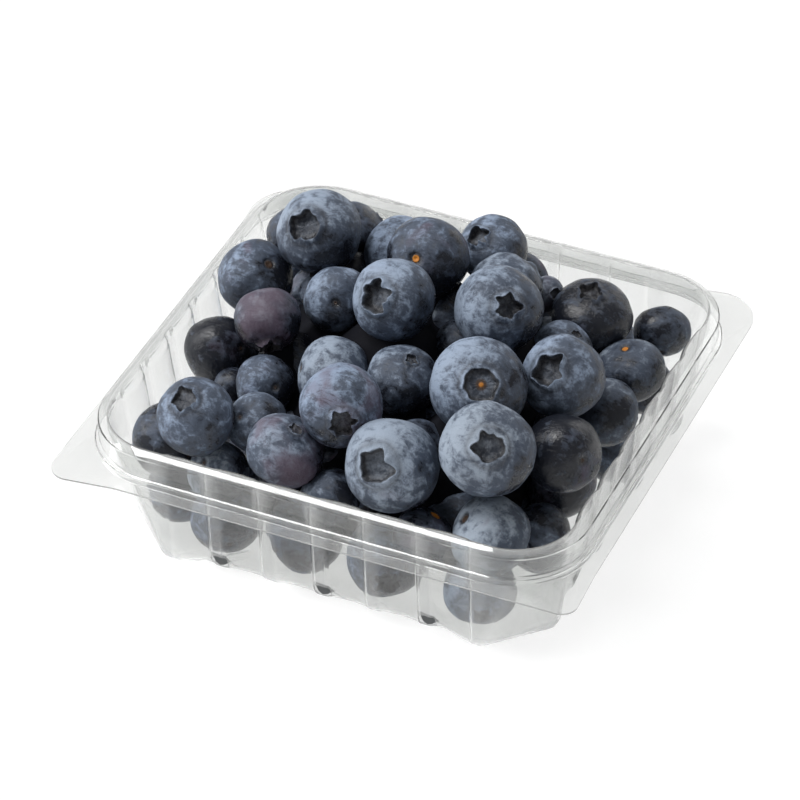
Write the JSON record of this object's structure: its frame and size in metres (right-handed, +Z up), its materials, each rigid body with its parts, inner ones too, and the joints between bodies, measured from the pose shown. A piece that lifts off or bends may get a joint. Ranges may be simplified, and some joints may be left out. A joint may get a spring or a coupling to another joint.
{
  "type": "blueberry punnet",
  "caption": "Open clear-plastic punnet with a rolled rim, corner tabs and fluted vented walls, heaped with blueberries",
  "frame": {"origin": "centre of the bounding box's base, on the plane that the four feet stand on", "axes": "+X along the tray's front side to the right, +Y from the front to the back, +Z up"},
  "size_m": [0.1164, 0.1138, 0.055],
  "materials": {
    "clear plastic": "clear thermoformed sheet, glossy",
    "blueberry skin": "dark blue skin under a pale waxy bloom"
  },
  "bodies": {
    "root": {"punnet": "clear plastic", "berries": "blueberry skin"}
  },
  "joints": []
}
